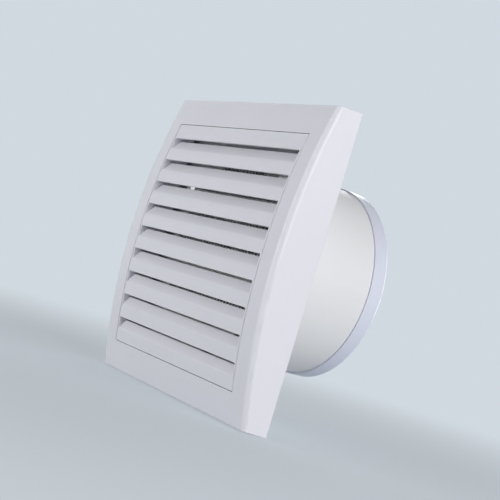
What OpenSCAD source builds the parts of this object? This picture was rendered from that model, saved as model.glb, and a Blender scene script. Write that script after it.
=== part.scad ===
// Bathroom extractor fan: a square plastic wall fan with a bowed louvred front,
// a round duct spigot, an enclosed shaded-pole motor and a two-flap backdraft shutter.
// Millimetres. +Z is up and +Y goes into the wall. The origin is the centre of the
// panel on the plane of the wall.

/* [Front frame] */
// Width of the square front frame
frame_w = 150; // [135:1:190]
// Height of the frame at its front edges
frame_h = 152; // [137:1:190]
// Growth in height of each of the top and bottom walls from front edge to wall
frame_draft = 0.8; // [0.4:0.1:1.2]
// Depth of the frame at its top and bottom edges
edge_depth = 13.4; // [13:0.2:18]
// How far the middle of the bowed front stands beyond its top and bottom edges
front_bulge = 9.2; // [6:0.2:14]
// Wall thickness of the frame
frame_wall = 2.4; // [1.8:0.1:3]
// Rounding between the bowed front and the flat sides
side_round = 2.6; // [1:0.2:4]
// Thickness of the wall that lines the window
window_wall = 1.6; // [1.2:0.1:2]
// How far the ledge at the back of the window reaches inwards
ledge_w = 1.4; // [1:0.1:2]
// Thickness of that ledge
ledge_t = 1.1; // [0.8:0.1:1.4]

/* [Louvre panel] */
// Width of the frame's border on each side of the louvre panel
border_w = 12.6; // [11.6:0.1:16]
// Height of the frame's border above and below the louvre panel
border_h = 14.9; // [12:0.1:17]
// Visible seam between the panel and the frame
seam = 0.3; // [0.3:0.1:0.8]
// Skin thickness of the panel
panel_skin = 1.5; // [1.2:0.1:2]
// Thickness of the skirt round the panel
skirt_t = 1.3; // [1:0.1:1.6]
// Number of louvre slots
slot_count = 9; // [6:1:10]
// Plain band of the panel above the first slot
band_above = 8.1; // [6:0.1:12]
// Plain band of the panel below the last slot's lip
band_below = 5.8; // [5:0.1:10]
// Open height of a slot, seen straight from the front
slot_gap = 1.1; // [0.8:0.1:2]
// Height of the sloping lip under each slot
lip_rise = 5.8; // [4:0.1:6.4]
// Depth of the lip's upper edge behind the front
lip_depth = 3.6; // [2:0.1:4]
// Radius of the bend where the lip leaves the front
lip_bend = 2.5; // [2.2:0.1:3.2]

/* [Spigot and wall plate] */
// Outside diameter of the duct spigot
spigot_d = 100; // [96:0.5:101]
// Wall thickness of the spigot
spigot_wall = 2.2; // [1.8:0.1:2.6]
// Length of the spigot behind the wall plane
spigot_len = 52; // [46.5:0.5:60]
// How far the spigot's mouth stands in front of the wall plane
mouth_len = 6; // [5.5:0.5:7]
// Thickness of the wall plate
plate_t = 2.5; // [2:0.1:3]
// Gap between the wall plate and the frame round it
plate_gap = 0.3; // [0.2:0.1:0.5]
// Distance between the wall screw slots, across
wall_slot_x = 114; // [112:0.5:116]
// Distance between the wall screw slots, up and down
wall_slot_z = 60; // [50:1:64]
// Width of a wall screw slot
wall_slot_w = 4.5; // [4:0.1:5]
// End-to-end length of a wall screw slot
wall_slot_len = 9; // [8:0.2:9.4]

/* [Frame screws] */
// Distance of the frame screws from the frame's sides
screw_in_x = 6.6; // [6.4:0.1:7]
// Distance of the frame screws from the frame's upper and lower front edges
screw_in_z = 7; // [6.5:0.1:8.5]
// Diameter of the self-tapping screws
screw_d = 2.9; // [2.5:0.1:3]
// Head diameter of the self-tapping screws
screw_head_d = 5.4; // [5:0.1:5.6]
// Length of the frame screws
screw_len = 9.5; // [8:0.5:10]

/* [Motor] */
// Inside diameter of the motor cup
cup_d = 53.4; // [53:0.1:56]
// Wall thickness of the motor cup
cup_wall = 1.8; // [1.5:0.1:2.2]
// Distance of the motor cup's open end behind the wall plane
cup_front = 18.5; // [18.5:0.1:20]
// Distance of the motor cup's closed end from the spigot's end
cup_inset = 2; // [1.4:0.1:2.5]
// Thickness of the spokes that carry the cup
spoke_t = 2.2; // [1.8:0.1:3]
// Diameter of the stator's lamination stack
stack_d = 51.6; // [51:0.1:52]
// Diameter of the rotor
rotor_d = 22; // [20:0.2:23]
// Air gap between rotor and stator
air_gap = 0.3; // [0.25:0.05:0.5]
// Width of a stator pole
pole_w = 13; // [11:0.5:13.5]
// Diameter of the motor shaft
shaft_d = 4; // [3:0.5:4]
// Running clearance of the shaft in its bearings, on the radius
bearing_clearance = 0.03; // [0.02:0.01:0.08]
// Distance of each long motor screw from the shaft
motor_screw_x = 22; // [21.6:0.1:22.2]

/* [Impeller] */
// Number of blades
blade_count = 6; // [5:1:8]
// Diameter over the blade tips
impeller_d = 90; // [84:1:91]
// Diameter of the impeller's hub
hub_d = 40; // [34:1:44]
// Wall thickness of the hub
hub_wall = 1.8; // [1.4:0.1:2.2]
// Front face of the hub, before the wall plane
hub_front = 3; // [2.5:0.1:3.4]
// Length of the hub along the shaft
hub_len = 18.5; // [16:0.5:18.5]
// Thickness of a blade at its middle
blade_t = 1.6; // [1.2:0.1:2.4]
// Blade angle to the plane of rotation at the hub
hub_angle = 46; // [40:1:52]
// Blade angle to the plane of rotation at the tip
tip_angle = 25; // [22:1:30]

/* [Backdraft shutter] */
// Outside diameter of the end ring
ring_d = 101.6; // [101:0.2:103]
// Length of the end ring
ring_len = 8.5; // [8:0.1:10]
// Wall thickness of the end ring
ring_wall = 3.8; // [3.4:0.1:4]
// Length of the collar that plugs into the spigot
collar_len = 5; // [3:0.5:5]
// Diameter of the flaps' hinge pin
pin_d = 2; // [1.6:0.1:2.4]
// Distance of the hinge pin behind the flaps' seat
pin_back = 3.8; // [3.8:0.1:4.2]
// Thickness of a flap
flap_t = 1.2; // [1:0.1:1.4]
// Gap between a closed flap and its seat, and round its edge
flap_gap = 0.4; // [0.3:0.1:0.6]

/* [Insect screen] */
// Distance between the bars of the screen
mesh_pitch = 5.4; // [5.4:0.1:7]
// Width of a bar of the screen
mesh_bar = 0.9; // [0.7:0.1:1.2]
// Thickness of the screen
mesh_t = 1; // [0.8:0.1:1.2]

/* [Electrical box] */
// Greatest distance of the terminal block from the middle, across
box_x = 48; // [46:0.1:48.5]
// Distance of the terminal cover's corner from the spigot
box_gap = 4; // [3.6:0.1:5]
// Width of the two-pole terminal block, along its wires
block_w = 11; // [10:0.2:11.4]
// Distance between the two poles of the terminal block
pole_pitch = 6.2; // [5.6:0.1:6.4]
// Depth of the terminal block
block_t = 7; // [6:0.2:7.4]
// Distance of the cable inlet from the terminal block, across
inlet_out = 4; // [2:0.5:5]
// Height of the cable inlet above the terminal cover
inlet_up = 8; // [7.6:0.1:8.4]
// Diameter of the hole in the wall plate for the cable grommet
inlet_d = 10.4; // [9:0.2:10.8]
// Bore of the cable grommet
grommet_bore = 7; // [6:0.2:7.4]
// Outside diameter of a motor lead
lead_d = 1.6; // [1.2:0.1:1.8]

/* [Hidden] */
$fn = 96;
fit = 0.05;
push_fit = 0.1;
cut = 1;

// Bowed front: a cylinder about a line along X.
front_r = (frame_h * frame_h / 4 + front_bulge * front_bulge) / (2 * front_bulge);
front_axis_y = front_r - edge_depth - front_bulge;
front_angle = asin(frame_h / 2 / front_r) + 4;
front_span = edge_depth + front_bulge + 12;
draft_slope = frame_draft / edge_depth;
half_w = frame_w / 2;
back_half_h = frame_h / 2 + frame_draft;

// Window, ledge and panel
panel_w = frame_w - 2 * border_w;
panel_h = frame_h - 2 * border_h;
window_w = panel_w + 2 * seam;
window_h = panel_h + 2 * seam;
ledge_y = -8;
panel_back = ledge_y - 0.2;
panel_corner = 0.3;
bump_d = 1;
bump_out = 0.3;
tab_w = 8;
tab_t = 1.2;
tab_len = 4;
tab_x = 34;

// Slots: the first is below the upper band, the last lip above the lower one.
slot_top = panel_h / 2 - band_above;
slot_pitch = (panel_h - band_above - band_below - slot_gap - lip_rise) / (slot_count - 1);

// Louvre lip: an arc that leaves the front along its tangent.
lip_inset = 0.03;
lip_root = 0.8;
bend_steps = 6;

// Frame screws and their bosses
screw_x = half_w - screw_in_x;
screw_z = frame_h / 2 - screw_in_z;
screw_point = 1.2;
screw_tip_d = 0.6;
head_taper = (screw_head_d - screw_d) / 2;
boss_d = 7;

// Wall plate and spigot
plate_half_w = half_w - frame_wall - plate_gap;
plate_half_h = back_half_h - draft_slope * plate_t - frame_wall - plate_gap;
spigot_r = spigot_d / 2;
duct_r = spigot_r - spigot_wall;
mouth_flare = 1.2;
plate_corner = 2;
gusset_count = 8;
gusset_len = 5;
gusset_h = 1.8;
snap_angle = 15;
snap_w = 4;
snap_l = 1.6;
snap_y = spigot_len - 3.4;

// Motor, from the front cap to the closed end of the cup
cup_r = cup_d / 2;
cup_outer_r = cup_r + cup_wall;
cup_back = spigot_len - cup_inset;
cup_round = 3;
cap_t = 1.6;
cap_lip = 1.2;
cap_lip_len = 2.4;
spoke_front = cup_front + 11.5;
spoke_slope = 7;
screw_boss_d = 6.4;
bar_t = 1.6;
bar_w = 12;
post_len = 4;
post_d = 6;
bearing_len = 4.4;
bearing_d = 9;
bearing_seat_d = 12;
seat_flange_d = 15;
front_play = 0.1;
rear_play = 0.8;
stack_front = cup_front + front_play + bearing_len + post_len;
stack_back = cup_back - cup_wall - rear_play - bearing_len - post_len;
stack_t = stack_back - stack_front;
stack_mid = (stack_front + stack_back) / 2;
front_bar_y = stack_front - post_len - bar_t;
rear_bar_y = stack_back + post_len;
front_bearing_y = front_bar_y - bearing_len + bar_t;
rear_bearing_y = rear_bar_y;
yoke_w = 4.3;
stack_bore = rotor_d / 2 + air_gap;
shoe_t = 2.5;
shoe_angle = 58;
shade_start_angle = 18;
shade_end_angle = 63;
shade_bar_angle = 3.5;
shade_slot_angle = 0.4;
shade_over = 0.8;
stack_ear_d = 7.6;
bracket_ear_d = 7.2;
coil_low = stack_bore + shoe_t + 0.5;
coil_h = 4.2;
bobbin_wall = 0.9;
coil_t = 2.6;
coil_flange = 0.8;
coil_wall_in = 0.4;
pole_fit = 0.15;
motor_screw_d = 3;
motor_screw_head_d = 5.4;
motor_screw_head_t = 2;
driver_slot = 0.8;
rotor_ring = 1;
rotor_ring_in = 1.5;
rotor_front = stack_front - rotor_ring;
rotor_back = stack_back + rotor_ring;
press_fit = 0.01;
shaft_chamfer = 0.4;
shaft_back = rear_bearing_y + bearing_len - 0.4;
washer_t = 1.6;
washer_play = 0.3;

// Impeller
hub_r = hub_d / 2;
hub_round = 5;
hub_boss_d = 9;
hub_back = hub_len - hub_front;
hub_boss_in = 4;
blade_front = 3.5 - hub_front;
blade_back = hub_back - 1.5;
blade_steps = 8;
blade_rings = 6;
camber_angle = 5;
clip_d = 9;
clip_t = 1;
shaft_front = -hub_front - clip_t - 0.6;

// Shutter
ring_r = ring_d / 2;
ring_bore_r = ring_r - ring_wall;
collar_r = duct_r - push_fit;
seat_r = collar_r - 2.5;
seat_y = spigot_len + 1;
flap_r = ring_bore_r - flap_gap;
flap_y = seat_y + flap_gap;
pin_y = seat_y + pin_back;
pin_len = 2 * (ring_bore_r + 1.8);
knuckle_d = 3.6;
knuckle_len = 6;
knuckle_in = 8;
knuckle_out = 30;
bar_seat_w = 4;
pin_fit = 0.02;
knuckle_fit = 0.05;
ear_half = 1.6;
ring_edge = 0.8;
split_gap = 0.3;
rib_z = 20;
rib_t = 1.2;
rib_h = 0.8;
rib_start = 3;
rib_end = 39.6;

// Screen
screen_r = spigot_r + 1.4;
screen_skirt = 1.4;
mesh_half = ceil(duct_r / mesh_pitch);

// Electrical box
block_h = 2 * pole_pitch;
cover_wall = 1.2;
cover_gap = 0.6;
box_in = 13.8;
block_x = min(box_x, panel_w / 2 - box_in);
block_back_y = -plate_t;
block_front_y = -plate_t - block_t;
wire_y = block_back_y - block_t / 2;
clamp_offset = block_w / 2 - 2.6;
tower_d = 3.8;
tower_gap = 0.3;
cover_t = 9.6;
tower_bore = 2.3;
cover_hole_d = 2.6;
lead_slot = 2.8;
cable_slot = 4;
cover_screw_d = 2.2;
cover_screw_len = 7;
cover_head_d = 4;
cover_head_t = 1.3;
wire_hole_d = 3.6;
tube_d = 3.5;
tube_bore = 2.3;
clamp_hole_d = 3.2;
clamp_d = 3;
rib_out = 0.8;
small_slot = 0.6;
grommet_lip = 1.6;
grommet_lip_t = 1.4;
cover_low_x = block_x - block_w / 2 - cover_gap - cover_wall;
cover_high_x = block_x + block_w / 2 + cover_gap + tower_d + tower_gap + cover_wall;
cover_low_z = sqrt((spigot_r + box_gap) ^ 2 - cover_low_x ^ 2);
block_z = cover_low_z + cover_wall + cover_gap + block_h / 2;
cover_high_z = block_z + block_h / 2 + cover_gap + cover_wall;
inlet_x = block_x + inlet_out;
inlet_z = cover_high_z + inlet_up;
corner_turn = 3.9;
spoke_angle = atan2(cover_low_z, cover_low_x) + corner_turn;
cover_screw_x = block_x + block_w / 2 + cover_gap + tower_d / 2;
lead_gap = 0.3;
lead_side = spoke_t / 2 + lead_d / 2 + lead_gap;
lead_bend = 1.04;
lead_y = stack_back + 2.5;

// ---- Shared shapes ----

// A flat outline in Y (first) and Z (second), drawn out along X about the middle
module along_x(length) {
    rotate([90, 0, 90]) translate([0, 0, -length / 2]) linear_extrude(length) children();
}

// A flat outline in X and Z, drawn out into the wall from y_from to y_to
module along_y(y_from, y_to) {
    translate([0, y_to, 0]) rotate([90, 0, 0]) linear_extrude(y_to - y_from) children();
}

// A ring or disc about the Y axis, from a half outline in radius and Y
module turned() {
    rotate([-90, 0, 0]) rotate_extrude() children();
}

// A round bar along Y
module rod_y(d, y_from, y_to) {
    translate([0, y_from, 0]) rotate([-90, 0, 0]) cylinder(d = d, h = y_to - y_from);
}

// A box from its low corner to its high corner
module span_box(low, high) {
    translate(low) cube(high - low);
}

// A rounded rectangle of exact arcs, centred
module round_rect(w, h, r) {
    square([w - 2 * r, h], center = true);
    square([w, h - 2 * r], center = true);
    for (x = [-1, 1], y = [-1, 1]) translate([x * (w / 2 - r), y * (h / 2 - r)]) circle(r);
}

// A sector of a ring, angles measured from the second axis towards the first
module ring_sector(r_in, r_out, from, to) {
    reach = r_out * 2;
    middle = (from + to) / 2;
    intersection() {
        difference() {
            circle(r_out);
            circle(r_in);
        }
        polygon([
            [0, 0], reach * [sin(from), cos(from)],
            reach * [sin(middle), cos(middle)], reach * [sin(to), cos(to)]
        ]);
    }
}

// Everything behind the bowed front inside a half width, at a depth below the skin
module bowed_block(half_width, depth, corner) {
    r = front_r - depth;
    low = front_r - front_span;
    translate([0, front_axis_y, 0]) rotate([-90, 0, 0]) rotate([0, 90, 0])
        rotate([0, 0, -front_angle]) rotate_extrude(angle = 2 * front_angle, $fn = 360) {
            translate([low, -half_width]) square([r - corner - low, 2 * half_width]);
            translate([low, corner - half_width]) square([r - low, 2 * (half_width - corner)]);
            for (s = [-1, 1]) translate([r - corner, s * (half_width - corner)]) circle(corner, $fn = 48);
        }
}

// The drafted top and bottom of the frame, drawn in by a wall, from the front to back_y
module drafted_prism(wall, back_y) {
    front_y = -edge_depth - front_bulge - cut;
    front_z = back_half_h + draft_slope * front_y - wall;
    back_z = back_half_h + draft_slope * back_y - wall;
    along_x(frame_w + 2 * cut)
        polygon([[front_y, -front_z], [back_y, -back_z], [back_y, back_z], [front_y, front_z]]);
}

// Puts a shape at the four corners of a rectangle in X and Z
module four_corners(x, z) {
    for (sx = [-1, 1], sz = [-1, 1]) translate([sx * x, 0, sz * z]) children();
}

// ---- Front frame and louvre panel ----

module frame_shell() {
    difference() {
        intersection() {
            bowed_block(half_w, 0, side_round);
            drafted_prism(0, 0);
        }
        intersection() {
            bowed_block(half_w - frame_wall, frame_wall, max(side_round - frame_wall, panel_corner));
            drafted_prism(frame_wall, cut);
        }
    }
}

// Lining of the window and screw bosses, ending inside the frame's skin
module frame_inside() {
    lining_back = ledge_y + ledge_t;
    front_y = -edge_depth - front_bulge;
    intersection() {
        bowed_block(half_w - frame_wall / 2, frame_wall / 2, panel_corner);
        union() {
            along_y(front_y, lining_back)
                square([window_w + 2 * window_wall, window_h + 2 * window_wall], center = true);
            four_corners(screw_x, screw_z) rod_y(boss_d, front_y, -plate_t);
        }
    }
}

module front_frame() color("white") {
    front_y = -edge_depth - front_bulge - cut;
    ledge_back = ledge_y + ledge_t + cut;
    difference() {
        union() {
            frame_shell();
            frame_inside();
        }
        along_y(front_y, ledge_y) square([window_w, window_h], center = true);
        along_y(ledge_y - cut, ledge_back)
            square([window_w - 2 * ledge_w, window_h - 2 * ledge_w], center = true);
        for (x = [-tab_x, tab_x]) translate([x, 0, 0]) along_y(ledge_y - cut, ledge_back)
            square([tab_w + 2 * seam, window_h], center = true);
        four_corners(screw_x, screw_z) rod_y(screw_d + 2 * fit, -screw_len - 1, cut);
    }
}

// Countersunk self-tapping screws, driven in from the back of the wall plate
module frame_screws() color("silver") {
    four_corners(screw_x, screw_z) turned() polygon([
        [0, 0], [screw_head_d / 2, 0], [screw_d / 2, -head_taper],
        [screw_d / 2, -screw_len + screw_point], [screw_tip_d / 2, -screw_len], [0, -screw_len]
    ]);
}

// Height of the line where the lip under slot n leaves the front
function lip_z(n) = slot_top - n * slot_pitch - slot_gap - lip_rise;

// A point below the bowed front at a depth along its radius, as Y and Z
function under_front(z, depth) =
    let (a = asin(z / front_r))
    (front_r - depth) * [-cos(a), sin(a)] + [front_axis_y, 0];

// Cuts slot n and the room for its lip out of the panel's skin
module slot_cut(n) {
    top = slot_top - n * slot_pitch;
    front_y = -edge_depth - front_bulge - cut;
    inside = under_front(lip_z(n), panel_skin + lip_depth);
    along_x(panel_w - 2 * skirt_t)
        polygon([under_front(lip_z(n), -cut), inside, [inside.x, top], [front_y, top]]);
}

// Where the bowed front stands at a height
function front_at(z) = front_axis_y - sqrt(front_r ^ 2 - z ^ 2);

// The upper edge of slot n's lip, seen from the line where the lip leaves the front:
// its depth square to the front, and its distance along the front
function lip_end(n) =
    let (z = lip_z(n), a = asin(z / front_r),
        inwards = front_at(z + lip_rise + slot_gap) + lip_depth - front_at(z))
    [inwards * cos(a) - lip_rise * sin(a), inwards * sin(a) + lip_rise * cos(a)];

// A point of the bend at the foot of a lip, at a radius and an angle from its start
function on_bend(r, angle) = [lip_bend - r * cos(angle), r * sin(angle)];

// The lip of slot n, which bends off the front smoothly and slopes in behind it
module slot_lip(n) {
    skin = panel_skin - 2 * lip_inset;
    end = lip_end(n);
    reach = norm(end - [lip_bend, 0]);
    slope = 180 - atan2(end[1], end[0] - lip_bend) - acos(lip_bend / reach);
    step = slope / bend_steps;
    along_x(panel_w - skirt_t)
        translate([front_axis_y, 0]) rotate(-asin(lip_z(n) / front_r))
            translate([lip_inset - front_r, 0]) polygon(concat(
                [[skin, -lip_root], [0, -lip_root]],
                [for (i = [0 : bend_steps]) on_bend(lip_bend, i * step)],
                [end, end + skin * [cos(slope), -sin(slope)]],
                [for (i = [bend_steps : -1 : 0]) on_bend(lip_bend - skin, i * step)]
            ));
}

module louvre_panel() color("whitesmoke") {
    front_y = -edge_depth - front_bulge - cut;
    inner_w = panel_w - 2 * skirt_t;
    inner_h = panel_h - 2 * skirt_t;
    difference() {
        intersection() {
            bowed_block(panel_w / 2, 0, panel_corner);
            along_y(front_y, panel_back) square([panel_w, panel_h], center = true);
        }
        intersection() {
            bowed_block(inner_w / 2, panel_skin, 0.01);
            along_y(front_y, panel_back + cut) square([inner_w, inner_h], center = true);
        }
        for (n = [0 : slot_count - 1]) slot_cut(n);
    }
    for (n = [0 : slot_count - 1]) slot_lip(n);
    for (x = [-tab_x, tab_x], s = [-1, 1]) clip_tab(x, s);
}

// A springy tab on the panel's skirt that reaches past the ledge of the window
module clip_tab(x, side) {
    tab_back = panel_back + tab_len;
    translate([x, 0, side * (panel_h / 2 - tab_t / 2)]) {
        span_box([-tab_w / 2, panel_back - cut, -tab_t / 2], [tab_w / 2, tab_back, tab_t / 2]);
        translate([0, tab_back - bump_d, side * (tab_t / 2 + bump_out - bump_d / 2)])
            rotate([0, 90, 0]) cylinder(d = bump_d, h = tab_w, center = true);
    }
}

// ---- Insect screen ----

module insect_screen() color("white") {
    grid_front = -mouth_len - mesh_t;
    hole = mesh_pitch - mesh_bar;
    along_y(grid_front, -mouth_len) difference() {
        circle(screen_r);
        intersection() {
            circle(duct_r);
            for (i = [-mesh_half : mesh_half], j = [-mesh_half : mesh_half])
                if (norm([i, j]) * mesh_pitch < duct_r + hole / 2)
                    translate([i * mesh_pitch, j * mesh_pitch]) square(hole, center = true);
        }
    }
    difference() {
        turned() translate([spigot_r + push_fit, -mouth_len])
            square([screen_r - spigot_r - push_fit, screen_skirt]);
        lead_notch(screen_r + cut);
    }
}

// ---- Wall plate, spigot and motor cup ----

// Opening for the two motor leads in the spigot's mouth
module lead_notch(reach) {
    rotate([0, -spoke_angle, 0]) span_box([duct_r - cut, -mouth_len - cut, -lead_side - lead_d],
        [reach, -plate_t - 0.6, lead_side + lead_d]);
}

module wall_slot() {
    run = wall_slot_len - wall_slot_w;
    square([run, wall_slot_w], center = true);
    for (s = [-1, 1]) translate([s * run / 2, 0]) circle(wall_slot_w / 2);
}

// Half outline of the motor cup, closed and rounded at the back
module cup_profile(r, front, back, corner) {
    translate([0, front]) square([r, back - corner - front]);
    translate([0, front]) square([r - corner, back - front]);
    translate([r - corner, back - corner]) circle(corner);
}

module spoke() {
    root = cup_outer_r - cup_wall / 2;
    end = duct_r + spigot_wall / 4;
    collar_y = spigot_len - collar_len - 0.5;
    linear_extrude(spoke_t, center = true) polygon([
        [root, spoke_front], [end, spoke_front + spoke_slope], [end, collar_y],
        [root, cup_back - cup_round]
    ]);
}

module spigot() {
    turned() polygon([
        [duct_r, spigot_len], [spigot_r, spigot_len], [spigot_r, -mouth_len],
        [duct_r + mouth_flare, -mouth_len], [duct_r, -plate_t - 0.5]
    ]);
}

module wall_plate() {
    along_y(-plate_t, 0) difference() {
        round_rect(2 * plate_half_w, 2 * plate_half_h, plate_corner);
        circle(duct_r + spigot_wall / 2);
    }
    for (i = [0 : gusset_count - 1]) rotate([0, (i + 0.5) * 360 / gusset_count, 0])
        linear_extrude(spoke_t, center = true) polygon([
            [spigot_r - 1, -plate_t + 0.5], [spigot_r + gusset_len, -plate_t + 0.5],
            [spigot_r + gusset_len, -plate_t], [spigot_r, -plate_t - gusset_h],
            [spigot_r - 1, -plate_t - gusset_h]
        ]);
}

module motor_cup() {
    turned() difference() {
        cup_profile(cup_outer_r, cup_front, cup_back, cup_round);
        cup_profile(cup_r, cup_front - cut, cup_back - cup_wall, cup_round - cup_wall);
    }
    for (s = [-1, 1]) translate([s * motor_screw_x, 0, 0])
        rod_y(screw_boss_d, rear_bar_y + bar_t, cup_back - cup_wall + 0.5);
}

module housing() color("ivory") {
    difference() {
        union() {
            wall_plate();
            spigot();
            motor_cup();
            for (i = [0 : 3]) rotate([0, 90 * i - spoke_angle, 0]) spoke();
            translate([cover_screw_x, 0, block_z])
                rod_y(tower_d, -plate_t - cover_t + cover_wall, -plate_t / 2);
        }
        four_corners(wall_slot_x / 2, wall_slot_z / 2) along_y(-plate_t - cut, cut) wall_slot();
        four_corners(screw_x, screw_z) {
            rod_y(screw_d + 2 * fit, -plate_t - cut, cut);
            countersink();
        }
        translate([inlet_x, 0, inlet_z]) rod_y(inlet_d, -plate_t - cut, cut);
        translate([cover_screw_x, 0, block_z]) rod_y(tower_bore, -plate_t - cover_t, -plate_t - 1);
        lead_notch(spigot_r + cut);
        for (side = [-1, 1]) rotate([0, -spoke_angle, 0])
            translate([cup_r - cut, lead_y, side * lead_side]) rotate([0, 90, 0])
                cylinder(d = lead_d + 2 * push_fit, h = cup_wall + 2 * cut);
        for (s = [-1, 1]) translate([s * motor_screw_x, 0, 0])
            rod_y(motor_screw_d + 2 * fit, rear_bar_y, cup_back - 1);
        for (i = [0, 1]) rotate([0, snap_angle + 180 * i, 0])
            span_box([-snap_w / 2, snap_y, duct_r - 1], [snap_w / 2, snap_y + snap_l, spigot_r + 1]);
    }
}

// The cone that seats a frame screw's head
module countersink() {
    turned() polygon([
        [0, fit], [screw_head_d / 2 + 2 * fit, fit], [screw_d / 2 + fit, -head_taper],
        [0, -head_taper]
    ]);
}

module cable_grommet() color("dimgray") {
    lip_r = inlet_d / 2 + grommet_lip;
    lip_y = -plate_t - grommet_lip_t;
    translate([inlet_x, 0, inlet_z]) turned() polygon([
        [grommet_bore / 2, 0], [inlet_d / 2 - fit, 0], [inlet_d / 2 - fit, -plate_t],
        [lip_r, -plate_t], [lip_r - grommet_lip / 3, lip_y], [grommet_bore / 2, lip_y]
    ]);
}

// ---- Motor ----

module motor_cover() color("ivory") {
    turned() {
        translate([shaft_d / 2 + 1, cup_front - cap_t])
            square([cup_outer_r - shaft_d / 2 - 1, cap_t]);
        translate([cup_r - push_fit - cap_lip, cup_front - cap_t / 2]) square([cap_lip, cap_lip_len]);
    }
}

module pole_shoe() {
    ring_sector(stack_bore, stack_bore + shoe_t, -shoe_angle, shoe_angle);
}

module stator_core() color("slategray") {
    stack_r = stack_d / 2;
    along_y(stack_front, stack_back) difference() {
        union() {
            difference() {
                circle(stack_r);
                circle(stack_r - yoke_w);
            }
            for (turn = [0, 180]) rotate(turn) {
                pole_shoe();
                translate([-pole_w / 2, stack_bore + 1]) square([pole_w, stack_r - stack_bore - 3]);
            }
            intersection() {
                circle(stack_r - 0.5);
                for (s = [-1, 1]) translate([s * motor_screw_x, 0]) circle(stack_ear_d / 2);
            }
        }
        for (s = [-1, 1]) translate([s * motor_screw_x, 0]) circle(motor_screw_d / 2 + push_fit);
        for (turn = [0, 180]) rotate(turn)
            ring_sector(stack_bore - cut, stack_bore + shoe_t - 0.2,
                shade_start_angle - shade_slot_angle,
                shade_start_angle + shade_bar_angle + shade_slot_angle);
    }
}

// Copper loops round the trailing third of each pole shoe
module shading_rings() color("orange") {
    r_in = stack_bore + 0.3;
    r_out = stack_bore + shoe_t - 0.3;
    difference() {
        along_y(stack_front - shade_over, stack_back + shade_over)
            for (turn = [0, 180]) rotate(turn)
                ring_sector(r_in, r_out, shade_start_angle, shade_end_angle);
        along_y(stack_front - fit, stack_back + fit)
            for (turn = [0, 180]) rotate(turn)
                ring_sector(r_in - cut, r_out + cut, shade_start_angle + shade_bar_angle,
                    shade_end_angle - shade_bar_angle + shade_slot_angle);
    }
}

// A frame round a pole, as thick as `thick` beyond a clearance, between two heights
module round_pole(clear, thick, low, high, corner) {
    w = pole_w + 2 * clear;
    l = stack_t + 2 * clear;
    translate([0, stack_mid, low]) linear_extrude(high - low) difference() {
        round_rect(w + 2 * thick, l + 2 * thick, corner);
        square([w, l], center = true);
    }
}

module coil_bobbins() color("beige") {
    top = coil_low + coil_h;
    for (turn = [0, 180]) rotate([0, turn, 0]) {
        round_pole(pole_fit, bobbin_wall, coil_low, top, bobbin_wall / 2);
        round_pole(pole_fit, bobbin_wall + coil_t, coil_low, coil_low + coil_flange, coil_t);
        round_pole(pole_fit, bobbin_wall + coil_t, top - coil_flange, top, coil_t);
    }
}

module coil_windings() color("peru") {
    low = coil_low + coil_flange + fit;
    for (turn = [0, 180]) rotate([0, turn, 0])
        round_pole(pole_fit + fit + bobbin_wall, coil_t - coil_wall_in, low,
            2 * coil_low + coil_h - low, coil_t - coil_flange);
}

// A die-cast bar across the stack with two posts and a seat for its bearing
module motor_bracket(bar_y, post_from, post_to, seat_y) {
    difference() {
        union() {
            along_y(bar_y, bar_y + bar_t) {
                square([2 * motor_screw_x, bar_w], center = true);
                for (s = [-1, 1]) translate([s * motor_screw_x, 0]) circle(bracket_ear_d / 2);
                circle(seat_flange_d / 2);
            }
            for (s = [-1, 1]) translate([s * motor_screw_x, 0, 0]) rod_y(post_d, post_from, post_to);
            rod_y(bearing_seat_d, seat_y, seat_y + bearing_len);
        }
        rod_y(bearing_d + 2 * fit, seat_y - cut, seat_y + bearing_len + cut);
        for (s = [-1, 1]) translate([s * motor_screw_x, 0, 0])
            rod_y(motor_screw_d + 2 * push_fit, bar_y - cut - post_len, bar_y + bar_t + post_len + cut);
    }
}

module front_bracket() color("silver") {
    motor_bracket(front_bar_y, front_bar_y + bar_t / 2, stack_front, front_bearing_y);
}

module rear_bracket() color("silver") {
    motor_bracket(rear_bar_y, stack_back, rear_bar_y + bar_t / 2, rear_bearing_y);
}

module sleeve_bearing(from) {
    bore_r = shaft_d / 2 + bearing_clearance;
    turned() translate([bore_r, from]) square([bearing_d / 2 - bore_r, bearing_len]);
}

module front_bearing() color("goldenrod") {
    sleeve_bearing(front_bearing_y);
}

module rear_bearing() color("goldenrod") {
    sleeve_bearing(rear_bearing_y);
}

// Two long screws that clamp the brackets and the stack to the bottom of the cup
module motor_screws() color("silver") {
    head_y = front_bar_y - motor_screw_head_t;
    for (s = [-1, 1]) translate([s * motor_screw_x, 0, 0]) {
        difference() {
            rod_y(motor_screw_head_d, head_y, front_bar_y);
            span_box([-motor_screw_head_d, head_y - cut, -driver_slot / 2],
                [motor_screw_head_d, head_y + driver_slot, driver_slot / 2]);
        }
        rod_y(motor_screw_d, front_bar_y - driver_slot / 2, cup_back - cup_wall + push_fit);
    }
}

module rotor() color("gray") {
    bore_r = shaft_d / 2 + press_fit;
    r = rotor_d / 2;
    ring_r = r - rotor_ring_in;
    turned() polygon([
        [bore_r, rotor_front], [ring_r, rotor_front], [ring_r, stack_front], [r, stack_front],
        [r, stack_back], [ring_r, stack_back], [ring_r, rotor_back], [bore_r, rotor_back]
    ]);
}

module shaft() color("lightgray") {
    r = shaft_d / 2;
    turned() polygon([
        [0, shaft_front], [r - shaft_chamfer, shaft_front], [r, shaft_front + shaft_chamfer],
        [r, shaft_back - shaft_chamfer], [r - shaft_chamfer, shaft_back], [0, shaft_back]
    ]);
}

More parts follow.
